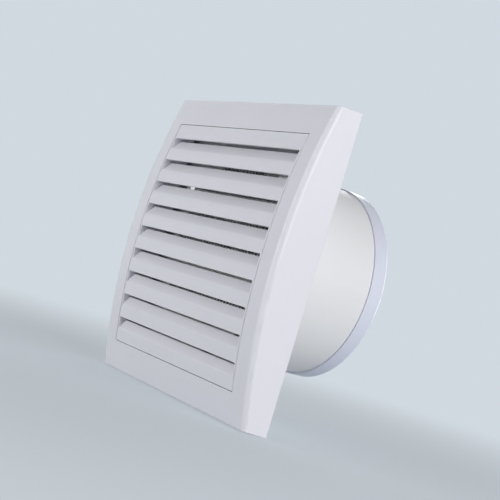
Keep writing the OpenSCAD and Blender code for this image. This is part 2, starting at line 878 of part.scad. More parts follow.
// Spacers that keep the rotor between the bearings
module thrust_washers() color("white") {
    bore_r = shaft_d / 2 + press_fit;
    start = front_bearing_y + bearing_len + washer_play;
    turned() {
        translate([bore_r, start]) square([washer_t, rotor_front - start]);
        translate([bore_r, rotor_back]) square([washer_t, rear_bearing_y - washer_play - rotor_back]);
    }
}

// ---- Impeller ----

// Blade angle at a radius, falling evenly from hub to tip
function pitch_at(r) = hub_angle + (tip_angle - hub_angle) * (r - hub_r) / (impeller_d / 2 - hub_r);

// How far round the axis the blade reaches at a radius, in degrees
function wrap_at(r) = (blade_back - blade_front) / tan(pitch_at(r)) / r * 180 / PI;

// A point of the blade: u runs from the front edge to the back edge, face is +1 or -1
function blade_point(r, u, face) =
    let (
        turn = wrap_at(r) * (u - 0.5) + camber_angle * sin(180 * u),
        half = blade_t / 2 * sqrt(sin(180 * u) + 0.02),
        y = blade_front + (blade_back - blade_front) * u + face * half * cos(pitch_at(r)),
        a = turn - face * half * sin(pitch_at(r)) / r * 180 / PI
    )
    [r * cos(a), y, -r * sin(a)];

// The closed outline of the blade at a radius, up one face and down the other
function blade_ring(r) = concat(
    [for (i = [0 : blade_steps]) blade_point(r, (1 - cos(180 * i / blade_steps)) / 2, 1)],
    [for (i = [blade_steps : -1 : 0]) blade_point(r, (1 - cos(180 * i / blade_steps)) / 2, -1)]
);

module blade() {
    root = hub_r - hub_wall / 2;
    tip = impeller_d / 2;
    n = 2 * (blade_steps + 1);
    points = [for (k = [0 : blade_rings]) each blade_ring(root + (tip - root) * k / blade_rings)];
    sides = [
        for (k = [0 : blade_rings - 1], i = [0 : n - 1])
            let (a = k * n + i, b = k * n + (i + 1) % n)
            each [[a, b, b + n], [a, b + n, a + n]]
    ];
    last = blade_rings * n;
    ends = [
        for (i = [0 : blade_steps - 1])
            let (a = i, b = i + 1, c = n - 2 - i, d = n - 1 - i)
            each [[a, c, b], [a, d, c], [last + a, last + b, last + c], [last + a, last + c, last + d]]
    ];
    polyhedron(points, concat(sides, ends));
}

module impeller() color("white") {
    front = -hub_front;
    inner_round = hub_round - hub_wall;
    difference() {
        union() {
            turned() difference() {
                union() {
                    translate([0, front + hub_round]) square([hub_r, hub_len - hub_round]);
                    translate([0, front]) square([hub_r - hub_round, hub_len]);
                    translate([hub_r - hub_round, front + hub_round]) circle(hub_round);
                }
                translate([0, front + hub_wall]) {
                    translate([0, inner_round]) square([hub_r - hub_wall, hub_len]);
                    square([hub_r - hub_round, hub_len]);
                    translate([hub_r - hub_round, inner_round]) circle(inner_round);
                }
            }
            rod_y(hub_boss_d, front + hub_wall / 2, hub_back - hub_boss_in);
            for (i = [0 : blade_count - 1]) rotate([0, i * 360 / blade_count, 0]) blade();
        }
        rod_y(shaft_d + 2 * press_fit, front - cut, hub_back + cut);
    }
}

// Push-on spring nut at the front end of the shaft
module impeller_clip() color("silver") {
    bore_r = shaft_d / 2 + press_fit;
    turned() polygon([
        [bore_r, -hub_front], [clip_d / 2, -hub_front], [clip_d / 2, -hub_front - clip_t / 2],
        [bore_r + clip_t, -hub_front - clip_t], [bore_r, -hub_front - clip_t]
    ]);
}

// ---- Electrical box ----

module at_poles() {
    for (s = [-1, 1]) translate([block_x, 0, block_z + s * pole_pitch / 2]) children();
}

module terminal_block() color("ghostwhite") {
    difference() {
        union() {
            span_box([block_x - block_w / 2, block_front_y, block_z - block_h / 2],
                [block_x + block_w / 2, block_back_y, block_z + block_h / 2]);
            span_box([block_x - block_w / 2, block_front_y - rib_out, block_z - rib_out / 2],
                [block_x + block_w / 2, block_back_y, block_z + rib_out / 2]);
        }
        at_poles() {
            translate([0, wire_y, 0]) rotate([0, 90, 0])
                cylinder(d = wire_hole_d, h = block_w + 2 * cut, center = true);
            for (s = [-1, 1]) translate([s * clamp_offset, 0, 0])
                rod_y(clamp_hole_d, block_front_y - cut, wire_y);
        }
    }
}

// Brass sleeves that hold the wires
module terminal_tubes() color("gold") {
    at_poles() translate([0, wire_y, 0]) rotate([0, 90, 0]) difference() {
        cylinder(d = tube_d, h = block_w - 1, center = true);
        cylinder(d = tube_bore, h = block_w + cut, center = true);
    }
}

module terminal_screws() color("silver") {
    clamp_y = block_front_y + 0.4;
    at_poles() for (s = [-1, 1]) translate([s * clamp_offset, 0, 0]) difference() {
        rod_y(clamp_d, clamp_y, wire_y - tube_d / 2 - press_fit);
        span_box([-clamp_d, clamp_y - cut, -small_slot / 2], [clamp_d, clamp_y + small_slot, small_slot / 2]);
    }
}

module terminal_cover() color("ivory") {
    front = -plate_t - cover_t;
    difference() {
        translate([0, -plate_t, 0]) span_box([cover_low_x, -cover_t, cover_low_z],
            [cover_high_x, 0, cover_high_z]);
        span_box([cover_low_x + cover_wall, front + cover_wall, cover_low_z + cover_wall],
            [cover_high_x - cover_wall, cut, cover_high_z - cover_wall]);
        translate([cover_screw_x, 0, block_z]) rod_y(cover_hole_d, front - cut, 0);
        at_poles() span_box([-block_w, wire_y - lead_d, -lead_slot / 2], [-block_w / 2, cut, lead_slot / 2]);
        span_box([inlet_x - grommet_bore / 2, -plate_t - cable_slot, block_z],
            [inlet_x + grommet_bore / 2, cut, cover_high_z + cut]);
    }
}

module terminal_cover_screw() color("silver") {
    front = -plate_t - cover_t;
    translate([cover_screw_x, 0, block_z]) difference() {
        union() {
            rod_y(cover_head_d, front - cover_head_t, front);
            rod_y(cover_screw_d, front - cover_head_t / 2, front + cover_screw_len);
        }
        span_box([-cover_head_d, front - cover_head_t - cut, -small_slot / 2],
            [cover_head_d, front - cover_head_t + small_slot, small_slot / 2]);
    }
}

// A point beside the upper right spoke: distance from the axis, sideways offset, depth
function by_spoke(out, side, y) =
    let (along = [cos(spoke_angle), sin(spoke_angle)])
    [out * along[0] - side * along[1], y, out * along[1] + side * along[0]];

// A round wire through a list of points
module wire(points) {
    for (i = [0 : len(points) - 2]) {
        run = points[i + 1] - points[i];
        length = norm(run);
        translate(points[i]) rotate([0, acos(run.z / length), atan2(run.y, run.x)])
            cylinder(d = lead_d, h = length, $fn = 24);
    }
    for (i = [1 : len(points) - 2]) translate(points[i])
        sphere(d = lead_d * lead_bend, $fn = 24);
}

// The two leads run from the upper coil along a spoke and the duct wall to the terminals
module motor_leads() color("royalblue") {
    coil_x = pole_w / 2 + pole_fit + fit + bobbin_wall + coil_t - coil_wall_in + lead_d / 2 + 0.2;
    wall_out = duct_r - lead_d / 2 - 0.2;
    front_y = -plate_t - 2;
    for (s = [-1, 1]) wire([
        [coil_x, lead_y, coil_low + coil_h / 2 + s * (lead_d / 2 + 0.1)],
        by_spoke(cup_r - 2.4, s * lead_side, lead_y),
        by_spoke(wall_out, s * lead_side, lead_y),
        by_spoke(wall_out, s * lead_side, front_y),
        by_spoke(spigot_r + 3, s * lead_side, front_y),
        [cover_low_x - 2.2 - s, wire_y, block_z + s * pole_pitch / 2],
        [block_x - block_w / 2 + 3, wire_y, block_z + s * pole_pitch / 2]
    ]);
}

// ---- Backdraft shutter ----

module backdraft_ring() color("lavender") {
    difference() {
        union() {
            turned() polygon([
                [seat_r, spigot_len - collar_len], [collar_r, spigot_len - collar_len],
                [collar_r, spigot_len], [ring_r, spigot_len],
                [ring_r, spigot_len + ring_len - ring_edge],
                [ring_r - ring_edge, spigot_len + ring_len],
                [ring_bore_r, spigot_len + ring_len], [ring_bore_r, seat_y], [seat_r, seat_y]
            ]);
            span_box([-bar_seat_w / 2, cup_back + 0.5, -seat_r - 1],
                [bar_seat_w / 2, seat_y, seat_r + 1]);
            span_box([-knuckle_d / 2, seat_y - 1, -ear_half], [knuckle_d / 2, pin_y, ear_half]);
            translate([0, pin_y, -ear_half]) cylinder(d = knuckle_d, h = 2 * ear_half);
        }
        translate([0, pin_y, -pin_len / 2 - 0.2]) cylinder(d = pin_d + 2 * pin_fit, h = pin_len + 0.4);
    }
    for (i = [0, 1]) rotate([0, snap_angle + 180 * i, 0])
        span_box([-snap_w / 2 + 0.3, snap_y + 0.3, collar_r - 1],
            [snap_w / 2 - 0.3, snap_y + snap_l - 0.3, spigot_r - 0.6]);
}

module flap_pin() color("silver") {
    translate([0, pin_y, -pin_len / 2]) cylinder(d = pin_d, h = pin_len);
}

// A knuckle of the hinge with the web that joins it to the flap, from z_from upwards
module knuckle(z_from) {
    translate([0, 0, z_from]) {
        translate([0, pin_y, 0]) cylinder(d = knuckle_d, h = knuckle_len);
        span_box([split_gap, flap_y + flap_t / 2, 0], [knuckle_d / 2, pin_y, knuckle_len]);
    }
}

module flap() {
    ear_clear = 2 * ear_half + 1.2;
    difference() {
        union() {
            along_y(flap_y, flap_y + flap_t) difference() {
                circle(flap_r);
                translate([-flap_r - 1 + split_gap, 0]) square(2 * flap_r + 2, center = true);
                square([2 * ear_clear, ear_clear], center = true);
            }
            knuckle(knuckle_in);
            knuckle(-knuckle_out - knuckle_len);
            for (z = [-rib_z, rib_z]) span_box([rib_start, flap_y + flap_t / 2, z - rib_t / 2],
                [rib_end, flap_y + flap_t + rib_h, z + rib_t / 2]);
        }
        translate([0, pin_y, -flap_r]) cylinder(d = pin_d + 2 * knuckle_fit, h = 2 * flap_r);
    }
}

module right_flap() color("white") flap();

module left_flap() color("white") rotate([0, 180, 0]) flap();

// ---- The assembly ----

front_frame();
frame_screws();
louvre_panel();
insect_screen();
housing();
motor_cover();
stator_core();
coil_bobbins();
coil_windings();
shading_rings();
front_bracket();
rear_bracket();
front_bearing();
rear_bearing();
motor_screws();
rotor();
shaft();
thrust_washers();
impeller();
impeller_clip();
terminal_block();
terminal_tubes();
terminal_screws();
terminal_cover();
terminal_cover_screw();
cable_grommet();
motor_leads();
backdraft_ring();
flap_pin();
right_flap();
left_flap();
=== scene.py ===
import bpy
import bmesh
import math
from mathutils import Matrix, Vector


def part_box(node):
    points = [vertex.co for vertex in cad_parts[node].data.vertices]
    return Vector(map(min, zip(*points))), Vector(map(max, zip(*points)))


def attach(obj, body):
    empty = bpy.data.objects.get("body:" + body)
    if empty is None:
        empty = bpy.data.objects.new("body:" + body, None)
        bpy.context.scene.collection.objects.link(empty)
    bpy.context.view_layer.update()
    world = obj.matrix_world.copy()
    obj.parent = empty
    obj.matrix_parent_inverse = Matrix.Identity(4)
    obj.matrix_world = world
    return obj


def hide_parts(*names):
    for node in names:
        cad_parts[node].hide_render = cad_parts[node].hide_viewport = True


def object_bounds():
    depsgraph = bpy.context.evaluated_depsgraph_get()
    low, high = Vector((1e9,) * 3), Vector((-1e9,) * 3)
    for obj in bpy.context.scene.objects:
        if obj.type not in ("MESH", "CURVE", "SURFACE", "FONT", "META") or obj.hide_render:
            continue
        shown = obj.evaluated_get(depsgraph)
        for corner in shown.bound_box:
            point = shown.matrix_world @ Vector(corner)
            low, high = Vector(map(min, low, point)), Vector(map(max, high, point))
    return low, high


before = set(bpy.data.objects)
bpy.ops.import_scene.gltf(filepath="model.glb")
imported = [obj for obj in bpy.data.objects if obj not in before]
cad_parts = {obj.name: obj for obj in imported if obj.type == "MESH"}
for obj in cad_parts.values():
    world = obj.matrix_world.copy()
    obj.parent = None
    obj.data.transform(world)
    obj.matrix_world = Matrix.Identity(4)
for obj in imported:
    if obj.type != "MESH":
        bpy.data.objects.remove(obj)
cad_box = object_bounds()

# Bathroom extractor fan. Metres, +Z up, +Y into the wall. The sections follow the
# order in which the fan is put together, after the studio that it stands in.


# ---- Studio ----
# A pale blue-grey floor that runs out into a backdrop of the same tone, four soft
# boxes and an even sky. The fan stands on its lower edge.

FLOOR_HEX = "#D1D9E0"
FLOOR_RADIUS = 4.0
FLOOR_SIDES = 64
FLOOR_KEEPS_SHADOW = (0.12, 0.60)  # the floor fades into the backdrop over these distances
FLOOR_OWN_TONE = 0.55  # share of the plain tone that is seen near the fan
SKY_STRENGTH = 0.12


def linear(hex_colour):
    """Linear RGBA of an sRGB hex colour."""
    parts = [int(hex_colour[i:i + 2], 16) / 255 for i in (1, 3, 5)]
    return [p / 12.92 if p <= 0.04045 else ((p + 0.055) / 1.055) ** 2.4 for p in parts] + [1.0]


def add_node(tree, kind, inputs=None, **settings):
    """Adds a node, sets it up, and fills its inputs with values or links."""
    node = tree.nodes.new(kind)
    for name, value in settings.items():
        setattr(node, name, value)
    for socket, value in (inputs or {}).items():
        if isinstance(value, bpy.types.NodeSocket):
            tree.links.new(value, node.inputs[socket])
        else:
            node.inputs[socket].default_value = value
    return node


def new_object(name, mesh, materials):
    """An object in the scene from a mesh, with its materials."""
    obj = bpy.data.objects.new(name, mesh)
    bpy.context.scene.collection.objects.link(obj)
    for material in materials:
        mesh.materials.append(material)
    return obj


def studio_floor():
    """A pale matte floor that fades into the backdrop's plain tone away from the fan."""
    material = bpy.data.materials.new("floor_matte_paper")
    material.use_nodes = True
    tree = material.node_tree
    tree.nodes.clear()
    place = add_node(tree, "ShaderNodeTexCoord")
    away = add_node(tree, "ShaderNodeVectorMath", {0: place.outputs["Object"]}, operation="LENGTH")
    near, far = FLOOR_KEEPS_SHADOW
    fade = add_node(tree, "ShaderNodeMapRange", {
        "Value": away.outputs["Value"], "From Min": near, "From Max": far,
        "To Min": FLOOR_OWN_TONE},
        interpolation_type="SMOOTHSTEP")
    rays = add_node(tree, "ShaderNodeLightPath")
    seen = add_node(tree, "ShaderNodeMath", {
        0: rays.outputs["Is Camera Ray"], 1: rays.outputs["Is Glossy Ray"]}, operation="MAXIMUM")
    mix = add_node(tree, "ShaderNodeMath", {
        0: seen.outputs[0], 1: fade.outputs["Result"]}, operation="MULTIPLY")
    matte = add_node(tree, "ShaderNodeBsdfDiffuse", {"Color": linear(FLOOR_HEX)})
    plain = add_node(tree, "ShaderNodeEmission", {"Color": linear(FLOOR_HEX), "Strength": 1.0})
    both = add_node(tree, "ShaderNodeMixShader", {
        0: mix.outputs[0], 1: matte.outputs[0], 2: plain.outputs[0]})
    add_node(tree, "ShaderNodeOutputMaterial", {"Surface": both.outputs[0]})
    mesh = bpy.data.meshes.new("floor")
    disc = bmesh.new()
    bmesh.ops.create_circle(disc, cap_ends=True, segments=FLOOR_SIDES, radius=FLOOR_RADIUS)
    disc.to_mesh(mesh)
    disc.free()
    floor = new_object("floor", mesh, [material])
    floor.location = (0, 0, cad_box[0].z)


def studio_sky():
    """Even light from all round, and the floor's own tone behind it where it is seen."""
    world = bpy.data.worlds.new("studio")
    bpy.context.scene.world = world
    world.use_nodes = True
    tree = world.node_tree
    tree.nodes.clear()
    rays = add_node(tree, "ShaderNodeLightPath")
    seen = add_node(tree, "ShaderNodeMath", {
        0: rays.outputs["Is Camera Ray"], 1: rays.outputs["Is Glossy Ray"]}, operation="MAXIMUM")
    seen = add_node(tree, "ShaderNodeMath", {
        0: seen.outputs[0], 1: rays.outputs["Is Transmission Ray"]}, operation="MAXIMUM")
    light = add_node(tree, "ShaderNodeBackground", {
        "Color": linear("#FFFFFF"), "Strength": SKY_STRENGTH})
    tone = add_node(tree, "ShaderNodeBackground", {"Color": linear(FLOOR_HEX), "Strength": 1.0})
    both = add_node(tree, "ShaderNodeMixShader", {
        0: seen.outputs[0], 1: light.outputs[0], 2: tone.outputs[0]})
    add_node(tree, "ShaderNodeOutputWorld", {"Surface": both.outputs[0]})


def soft_box(name, at, width, power, hex_colour):
    """A square area light that faces the middle of the fan."""
    lamp = bpy.data.lights.new(name, "AREA")
    lamp.size = width
    lamp.energy = power
    lamp.color = linear(hex_colour)[:3]
    obj = bpy.data.objects.new(name, lamp)
    bpy.context.scene.collection.objects.link(obj)
    obj.location = at
    obj.rotation_mode = "QUATERNION"
    obj.rotation_quaternion = (-Vector(at)).to_track_quat("-Z", "Y")


studio_floor()
studio_sky()
soft_box("key_right", (1.35, 0.10, 0.35), 0.9, 13.5, "#FFFFFF")
soft_box("fill_front", (-0.35, -1.40, 0.10), 1.2, 7.6, "#FFFFFF")
soft_box("fill_low", (-0.50, -1.10, 0.06), 0.26, 3.9, "#FFFFFF")
soft_box("rim_back_left", (-1.00, 1.10, 0.25), 0.9, 9.0, "#FFFFFF")

CAMERA_AT = (0.50993, -0.30959, -0.01585)
CAMERA_RIGHT = (0.51685, 0.80611, 0.28818)
CAMERA_UP = (-0.12516, -0.26186, 0.95696)
CAMERA_BACK = (0.84688, -0.53067, -0.03445)
CAMERA_CLIP = (0.02, 20)
LENS_MM, SENSOR_MM = 84.724, 36

camera = bpy.data.objects.new("camera", bpy.data.cameras.new("camera"))
bpy.context.scene.collection.objects.link(camera)
camera.data.sensor_width = SENSOR_MM
camera.data.lens = LENS_MM
camera.data.clip_start, camera.data.clip_end = CAMERA_CLIP
turn = Matrix((CAMERA_RIGHT, CAMERA_UP, CAMERA_BACK)).transposed().to_4x4()
camera.matrix_world = Matrix.Translation(CAMERA_AT) @ turn
bpy.context.scene.camera = camera
bpy.context.scene.view_settings.view_transform = "Standard"


# ---- Housing ----
# The wall plate, the duct spigot, its four spokes and the motor cup, moulded in one
# piece of off-white ABS. Four slots in the plate take the wall screws.

EDGE_ROUND_MM = 0.3
FLOW_DRIFT_MM = 45
GLOSS_DRIFT = 0.05


def per_mm(size_mm):
    """Scale of a pattern whose grains or waves are this far apart."""
    return 1000 / size_mm


def dress(node, *materials):
    """Puts finishes on a CAD node: one for the whole piece, or one for each of its slots."""
    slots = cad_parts[node].material_slots
    if not slots:
        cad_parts[node].data.materials.append(materials[0])
    for i, place in enumerate(slots):
        place.material = materials[min(i, len(materials) - 1)]


def moulded_plastic(name, hex_light, hex_deep, roughness, grain_mm, grain_depth_mm, ior=1.54):
    """Injection-moulded plastic: an even colour with a faint drift where it flowed, and
    the fine spark-eroded grain of the mould, which blurs its reflections."""
    material = bpy.data.materials.new(name)
    material.use_nodes = True
    tree = material.node_tree
    tree.nodes.clear()
    place = add_node(tree, "ShaderNodeTexCoord").outputs["Object"]
    drift = add_node(tree, "ShaderNodeTexNoise", {
        "Vector": place, "Scale": per_mm(FLOW_DRIFT_MM), "Detail": 2.0, "Roughness": 0.4})
    colour = add_node(tree, "ShaderNodeMix", {
        "Factor": drift.outputs["Fac"], "A": linear(hex_light), "B": linear(hex_deep)},
        data_type="RGBA")
    grain = add_node(tree, "ShaderNodeTexNoise", {
        "Vector": place, "Scale": per_mm(grain_mm), "Detail": 3.0, "Roughness": 0.6})
    gloss = add_node(tree, "ShaderNodeMapRange", {
        "Value": grain.outputs["Fac"],
        "To Min": roughness - GLOSS_DRIFT, "To Max": roughness + GLOSS_DRIFT})
    edges = add_node(tree, "ShaderNodeBevel", {"Radius": EDGE_ROUND_MM / 1000}, samples=4)
    bump = add_node(tree, "ShaderNodeBump", {
        "Height": grain.outputs["Fac"], "Strength": 1.0, "Distance": grain_depth_mm / 1000,
        "Normal": edges.outputs["Normal"]})
    surface = add_node(tree, "ShaderNodeBsdfPrincipled", {
        "Base Color": colour.outputs["Result"], "Roughness": gloss.outputs["Result"],
        "IOR": ior, "Normal": bump.outputs["Normal"]})
    add_node(tree, "ShaderNodeOutputMaterial", {"Surface": surface.outputs[0]})
    return material


abs_off_white = moulded_plastic("abs_moulded_off_white", "#EFEFF1", "#ECEBEC", 0.36, 1.1, 0.006)
dress("housing", abs_off_white)
dress("motor_cover", abs_off_white)


# ---- Cable grommet ----
# A soft black rubber ring pressed into the plate's hole, where the mains cable comes
# through. Moulded EPDM is dark, dull and slightly dusty.

epdm_black = moulded_plastic("epdm_rubber_moulded", "#26272A", "#1F2022", 0.62, 0.8, 0.012, ior=1.5)
dress("cable_grommet", epdm_black)


# ---- Stator core ----
# A stack of punched silicon-steel laminations. Its rim shows the cut edges of the
# sheets, 0.5 mm apart, and the flat faces show the blue-grey of the steel.

LAMINATION_MM = 0.5
SHEET_EDGE_DEPTH_MM = 0.06
STEEL_PATCH_MM = 6
WAVE_RADIANS = 20  # phase that a wave texture turns through per unit of its scale


def laminated_steel(name):
    """Dark rolled steel with the fine lines of the stacked sheets round its rim."""
    material = bpy.data.materials.new(name)
    material.use_nodes = True
    tree = material.node_tree
    tree.nodes.clear()
    place = add_node(tree, "ShaderNodeTexCoord").outputs["Object"]
    sheets = add_node(tree, "ShaderNodeTexWave", {
        "Vector": place, "Scale": per_mm(LAMINATION_MM) * 2 * math.pi / WAVE_RADIANS,
        "Distortion": 0.0}, bands_direction="Y")
    patches = add_node(tree, "ShaderNodeTexNoise", {
        "Vector": place, "Scale": per_mm(STEEL_PATCH_MM), "Detail": 4.0})
    colour = add_node(tree, "ShaderNodeMix", {
        "Factor": patches.outputs["Fac"], "A": linear("#6C7079"), "B": linear("#8B8F97")},
        data_type="RGBA")
    dull = add_node(tree, "ShaderNodeMapRange", {
        "Value": patches.outputs["Fac"], "To Min": 0.34, "To Max": 0.52})
    bump = add_node(tree, "ShaderNodeBump", {
        "Height": sheets.outputs["Fac"], "Strength": 0.8,
        "Distance": SHEET_EDGE_DEPTH_MM / 1000})
    surface = add_node(tree, "ShaderNodeBsdfPrincipled", {
        "Base Color": colour.outputs["Result"], "Metallic": 1.0,
        "Roughness": dull.outputs["Result"], "Normal": bump.outputs["Normal"]})
    add_node(tree, "ShaderNodeOutputMaterial", {"Surface": surface.outputs[0]})
    return material


silicon_steel = laminated_steel("silicon_steel_laminations")
dress("stator_core", silicon_steel)


# ---- Shading rings ----
# Two loops of bare copper bar, pressed into slots in the pole shoes. Handling has
# dulled the copper unevenly.


def plain_metal(name, hex_bright, hex_dull, rough_low, rough_high, patch_mm, marks_mm=None,
                marks_depth_mm=0.0):
    """A metal surface: colour and gloss drift in patches, with fine marks from how it was made."""
    material = bpy.data.materials.new(name)
    material.use_nodes = True
    tree = material.node_tree
    tree.nodes.clear()
    place = add_node(tree, "ShaderNodeTexCoord").outputs["Object"]
    patches = add_node(tree, "ShaderNodeTexNoise", {
        "Vector": place, "Scale": per_mm(patch_mm), "Detail": 4.0})
    colour = add_node(tree, "ShaderNodeMix", {
        "Factor": patches.outputs["Fac"], "A": linear(hex_bright), "B": linear(hex_dull)},
        data_type="RGBA")
    gloss = add_node(tree, "ShaderNodeMapRange", {
        "Value": patches.outputs["Fac"], "To Min": rough_low, "To Max": rough_high})
    values = {"Base Color": colour.outputs["Result"], "Metallic": 1.0,
              "Roughness": gloss.outputs["Result"]}
    if marks_mm:
        marks = add_node(tree, "ShaderNodeTexNoise", {
            "Vector": place, "Scale": per_mm(marks_mm), "Detail": 2.0})
        values["Normal"] = add_node(tree, "ShaderNodeBump", {
            "Height": marks.outputs["Fac"], "Strength": 1.0,
            "Distance": marks_depth_mm / 1000}).outputs["Normal"]
    surface = add_node(tree, "ShaderNodeBsdfPrincipled", values)
    add_node(tree, "ShaderNodeOutputMaterial", {"Surface": surface.outputs[0]})
    return material


bare_copper = plain_metal("copper_bar_bare", "#D08B62", "#A9603B", 0.28, 0.45, 3)
dress("shading_rings", bare_copper)


# ---- Coil bobbins ----
# Two moulded nylon frames that slip over the poles and carry the windings. Natural
# nylon is a warm translucent white.

nylon_natural = moulded_plastic("nylon_moulded_natural", "#EDE8DA", "#E2DAC6", 0.42, 0.9, 0.006)
dress("coil_bobbins", nylon_natural)


# ---- Coil windings ----
# Each bobbin is wound with enamelled copper wire, layer on layer. The lacquer gives
# the copper a deep red-brown gloss. The wire is drawn 0.5 mm thick so that it shows.

WIRE_D = 0.0005
COIL_LAYERS = 4
COIL_TURNS = 5
COIL_INNER_W, COIL_INNER_L = 0.0152, 0.0142
COIL_CORNER = 0.0006
TURN_POINTS = 28


def enamelled_wire(name):
    """Copper under a thin clear red-brown lacquer."""
    material = plain_metal(name, "#B8622E", "#9A4A20", 0.3, 0.4, 2)
    surface = next(n for n in material.node_tree.nodes if n.type == "BSDF_PRINCIPLED")
    surface.inputs["Coat Weight"].default_value = 0.8
    surface.inputs["Coat Roughness"].default_value = 0.12
    surface.inputs["Coat IOR"].default_value = 1.5
    surface.inputs["Coat Tint"].default_value = linear("#E9A774")
    return material


def rounded_turn(share, w, l, corner):
    """A point on a rounded rectangle, at a share of the way round it."""
    straight_w, straight_l = w - 2 * corner, l - 2 * corner
    arc = corner * math.pi / 2
    left = share % 1 * (2 * straight_w + 2 * straight_l + 4 * arc)
    at = Vector((corner - w / 2, -l / 2))
    heading = 0.0
    for straight in (straight_w, straight_l, straight_w, straight_l):
        along = Vector((math.cos(heading), math.sin(heading)))
        side = Vector((-along.y, along.x))
        if left <= straight:
            return at + along * left
        left -= straight
        at = at + along * straight
        if left <= arc:
            a = left / corner
            return at + along * corner * math.sin(a) + side * corner * (1 - math.cos(a))
        left -= arc
        at = at + (along + side) * corner
        heading += math.pi / 2
    return at


def evaluated_mesh(obj):
    """A plain mesh of an object as it stands, with its curves and modifiers worked out."""
    graph = bpy.context.evaluated_depsgraph_get()
    return bpy.data.meshes.new_from_object(obj.evaluated_get(graph))


def wound_coil(name, way, low, mid_y):
    """One continuous wire, wound up and down the bobbin, as a mesh tube."""
    curve = bpy.data.curves.new(name, "CURVE")
    curve.dimensions = "3D"
    curve.bevel_depth = WIRE_D / 2
    curve.bevel_resolution = 1
    curve.use_fill_caps = True
    points = []
    for layer in range(COIL_LAYERS):
        grow = WIRE_D * (2 * layer + 1)
        for i in range(COIL_TURNS * TURN_POINTS):
            share = i / TURN_POINTS
            rise = share / COIL_TURNS
            height = rise if layer % 2 == 0 else 1 - rise
            x, y = rounded_turn(
                share, COIL_INNER_W + grow, COIL_INNER_L + grow, COIL_CORNER + grow / 2)
            z = low + WIRE_D / 2 + height * (COIL_TURNS - 1) * WIRE_D
            points.append((way * x, mid_y + y, way * z, 1))
    spline = curve.splines.new("POLY")
    spline.points.add(len(points) - 1)
    for point, co in zip(spline.points, points):
        point.co = co
    tube = bpy.data.objects.new(name, curve)
    bpy.context.scene.collection.objects.link(tube)
    bpy.context.view_layer.update()
    mesh = evaluated_mesh(tube)
    bpy.data.objects.remove(tube)
    mesh.name = name
    mesh.shade_smooth()
    return new_object(name, mesh, [wire_enamel])


wire_enamel = enamelled_wire("copper_wire_enamelled")
coil_low, coil_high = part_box("coil_windings")
coil_mid_y = (coil_low.y + coil_high.y) / 2
coil_start = coil_high.z - COIL_TURNS * WIRE_D
for way, name in ((1, "upper_coil_winding"), (-1, "lower_coil_winding")):
    coil = wound_coil(name, way, coil_start, coil_mid_y)
    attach(coil, "fan_body")
    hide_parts("coil_windings")


# ---- Motor brackets ----
# Two die-cast zinc bars across the stack, each with a seat for a bearing. The casting
# is a soft dull grey with a faint orange-peel skin.

zinc_casting = plain_metal("zinc_die_cast", "#B4B7BA", "#9DA1A5", 0.42, 0.56, 5, 0.9, 0.02)
dress("front_bracket", zinc_casting)
dress("rear_bracket", zinc_casting)


# ---- Sleeve bearings ----
# Two short sleeves of sintered bronze, soaked in oil. The pressed powder leaves a
# speckled brown-gold surface full of tiny pores.

sintered_bronze = plain_metal("bronze_sintered", "#A98549", "#6F5328", 0.38, 0.6, 0.7, 0.4, 0.02)
dress("front_bearing", sintered_bronze)
dress("rear_bearing", sintered_bronze)


# ---- Shaft, rotor and spacers ----
# A ground steel shaft with the laminated rotor and two nylon spacers pressed on. The
# rotor's end rings are cast aluminium and its core is blued steel.

ground_steel = plain_metal("steel_ground", "#C9CBCE", "#B2B5B9", 0.16, 0.28, 4)
dress("shaft", ground_steel)
dress("thrust_washers", nylon_natural)


ROTOR_RING = 0.001


def cast_rotor(name):
    """Laminated core between two plain aluminium end rings."""
    material = laminated_steel(name)
    tree = material.node_tree
    surface = next(n for n in tree.nodes if n.type == "BSDF_PRINCIPLED")
    steel = surface.inputs["Base Color"].links[0].from_socket
    place = add_node(tree, "ShaderNodeTexCoord").outputs["Object"]
    parts = add_node(tree, "ShaderNodeSeparateXYZ", {0: place})
    low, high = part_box("rotor")
    middle, reach = (low.y + high.y) / 2, (high.y - low.y) / 2 - ROTOR_RING
    off = add_node(tree, "ShaderNodeMath", {0: parts.outputs["Y"], 1: middle}, operation="SUBTRACT")
    off = add_node(tree, "ShaderNodeMath", {0: off.outputs[0]}, operation="ABSOLUTE")
    ring = add_node(tree, "ShaderNodeMath", {0: off.outputs[0], 1: reach}, operation="GREATER_THAN")
    colour = add_node(tree, "ShaderNodeMix", {
        "Factor": ring.outputs[0], "A": steel, "B": linear("#C4C7CA")}, data_type="RGBA")
    tree.links.new(colour.outputs["Result"], surface.inputs["Base Color"])
    return material


dress("rotor", cast_rotor("rotor_steel_and_aluminium"))


# ---- Motor screws ----
# Two long M3 screws that clamp the brackets and the stack to the bottom of the cup.
# Bright zinc plating over rolled threads.

zinc_plated = plain_metal("steel_zinc_plated", "#CFD2D4", "#B9BDC2", 0.18, 0.32, 2.5)
dress("motor_screws", zinc_plated)


# ---- Impeller and clip ----
# Six cambered blades and a domed hub in one moulding of white ABS, pushed on the shaft
# and held by a spring-steel clip.

abs_white_inside = moulded_plastic(
    "abs_moulded_white_impeller", "#ECECE8", "#E4E4DF", 0.33, 1.0, 0.005)
spring_steel = plain_metal("spring_steel_oiled", "#6B6D72", "#4C4E55", 0.25, 0.4, 2)
dress("impeller", abs_white_inside)
dress("impeller_clip", spring_steel)


# ---- Terminal block ----
# A two-pole block of nylon with brass sleeves and four slotted clamp screws, under a
# small snap-on cover of the housing's ABS with one screw.

turned_brass = plain_metal("brass_turned", "#D9B565", "#BE9548", 0.2, 0.34, 2)
dress("terminal_block", nylon_natural)
dress("terminal_tubes", turned_brass)
dress("terminal_screws", zinc_plated)
dress("terminal_cover", abs_off_white)
dress("terminal_cover_screw", zinc_plated)


# ---- Motor leads ----
# Two solid-colour leads from the coil along a spoke to the terminals. Extruded PVC is
# smooth and softly shiny.

